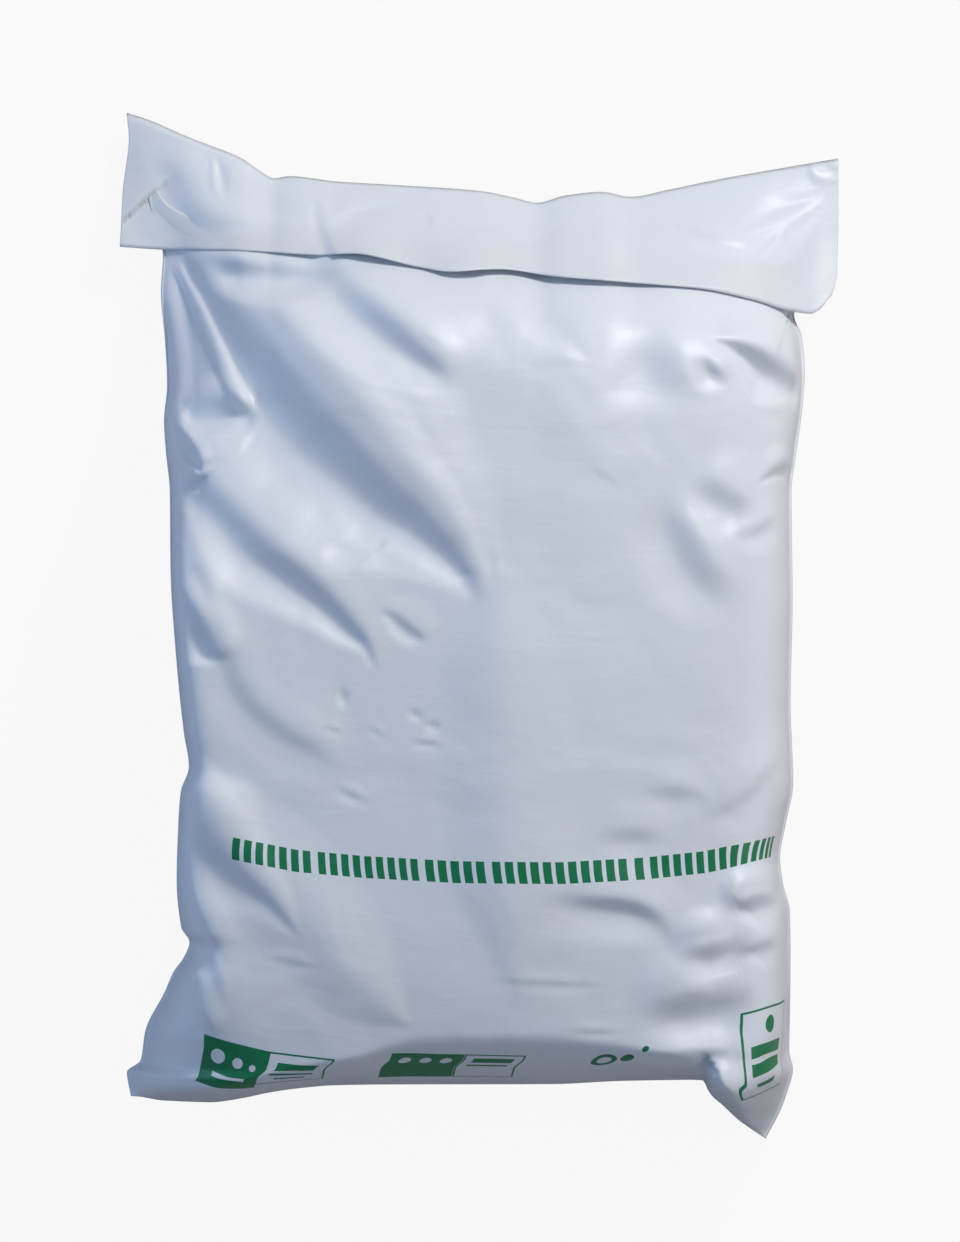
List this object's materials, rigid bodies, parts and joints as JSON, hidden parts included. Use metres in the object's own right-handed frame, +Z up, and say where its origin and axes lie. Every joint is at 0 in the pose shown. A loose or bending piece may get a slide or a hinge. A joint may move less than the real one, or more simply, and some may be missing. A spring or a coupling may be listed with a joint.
{
  "type": "poly mailer bag",
  "caption": "Filled and closed film mailer bag lying on its back, with a folded-over flap, side welds, a folded bottom, corner ears and diagonal drape folds.",
  "frame": {"origin": "middle of the bag's plan box, on the ground that it lies on", "axes": "+Y from the bottom turn towards the flap, +Z up out of the front panel, +X to the right as the front is looked at"},
  "size_m": [0.3, 0.4279, 0.1021],
  "materials": {
    "film": "satin"
  },
  "bodies": {
    "root": {"mailer_bag": "film"}
  },
  "joints": []
}
